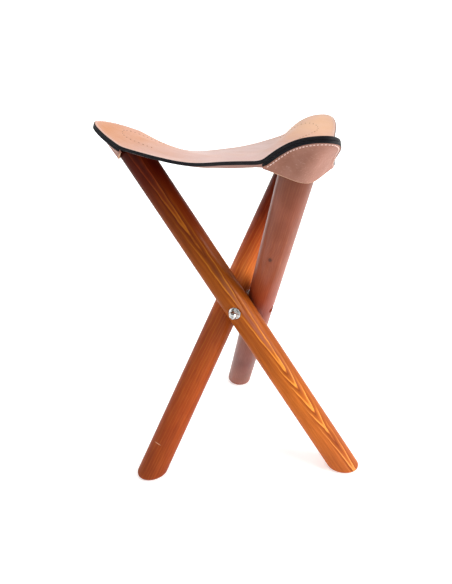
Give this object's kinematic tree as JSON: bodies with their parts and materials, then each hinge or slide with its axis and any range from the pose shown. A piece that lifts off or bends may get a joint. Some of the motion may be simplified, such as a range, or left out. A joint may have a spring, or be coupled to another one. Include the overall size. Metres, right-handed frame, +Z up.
{
  "type": "folding tripod stool",
  "caption": "Folding tripod stool: round wooden legs cross on a three-way bolt and a dished leather triangle with sewn corner pockets hangs over their tops.",
  "frame": {"origin": "on the floor, on the upright line that the three legs lean round", "axes": "+Z up; -X towards the top of the left leg; the shank of the eye bolt runs along -Y, which is the side that the picture is taken from"},
  "size_m": [0.3631, 0.3414, 0.474],
  "materials": {
    "varnished_wood": "glossy varnish over orange to red-brown wood",
    "seat_leather": "natural vegetable-tanned leather, smooth side up, black painted edge",
    "pocket_leather": "natural leather, matt",
    "rim_thread": "waxed thread",
    "stop_thread": "waxed thread",
    "plated_steel": "bright plated steel"
  },
  "bodies": {
    "hub": {"eye_bolt": "plated_steel", "eye_bolt_inner_washer": "plated_steel", "eye_bolt_lock_nut": "plated_steel", "eye_bolt_outer_washer": "plated_steel", "eye_bolt_cap_nut": "plated_steel", "long_bolt": "plated_steel", "long_bolt_head_washer": "plated_steel", "long_bolt_nut": "plated_steel", "long_bolt_nut_washer": "plated_steel", "seat_panel": "seat_leather", "stop_seam_left": "stop_thread", "stop_seam_front": "stop_thread", "stop_seam_rear": "stop_thread"},
    "leg_left": {"leg_left": "varnished_wood", "pocket_left": "pocket_leather", "rim_seam_left": "rim_thread"},
    "leg_front": {"leg_front": "varnished_wood", "pocket_front": "pocket_leather", "rim_seam_front": "rim_thread"},
    "leg_rear": {"leg_rear": "varnished_wood", "pocket_rear": "pocket_leather", "rim_seam_rear": "rim_thread"}
  },
  "joints": [
    {"name": "fold_left_leg", "type": "hinge", "parent": "hub", "child": "leg_left", "pos_m": [0, 0.01601, 0.2255], "axis": [0, 1, 0], "range_deg": [0, 52], "deforming": ["seat_panel", "stop_seam_left", "stop_seam_front", "stop_seam_rear", "pocket_left", "rim_seam_left"]},
    {"name": "fold_front_leg", "type": "hinge", "parent": "hub", "child": "leg_front", "pos_m": [0, 0.01601, 0.2255], "axis": [-0.9455, 0, 0.3255], "range_deg": [0, 28.6], "deforming": ["pocket_front", "rim_seam_front"]},
    {"name": "fold_rear_leg", "type": "hinge", "parent": "hub", "child": "leg_rear", "pos_m": [0, 0.01601, 0.2255], "axis": [0.9455, 0, -0.3255], "range_deg": [0, 28.6], "deforming": ["pocket_rear", "rim_seam_rear"]}
  ],
  "couplings": [
    {"joint": "fold_front_leg", "follows": "fold_left_leg", "ratio": 0.54934},
    {"joint": "fold_rear_leg", "follows": "fold_left_leg", "ratio": 0.54934}
  ]
}
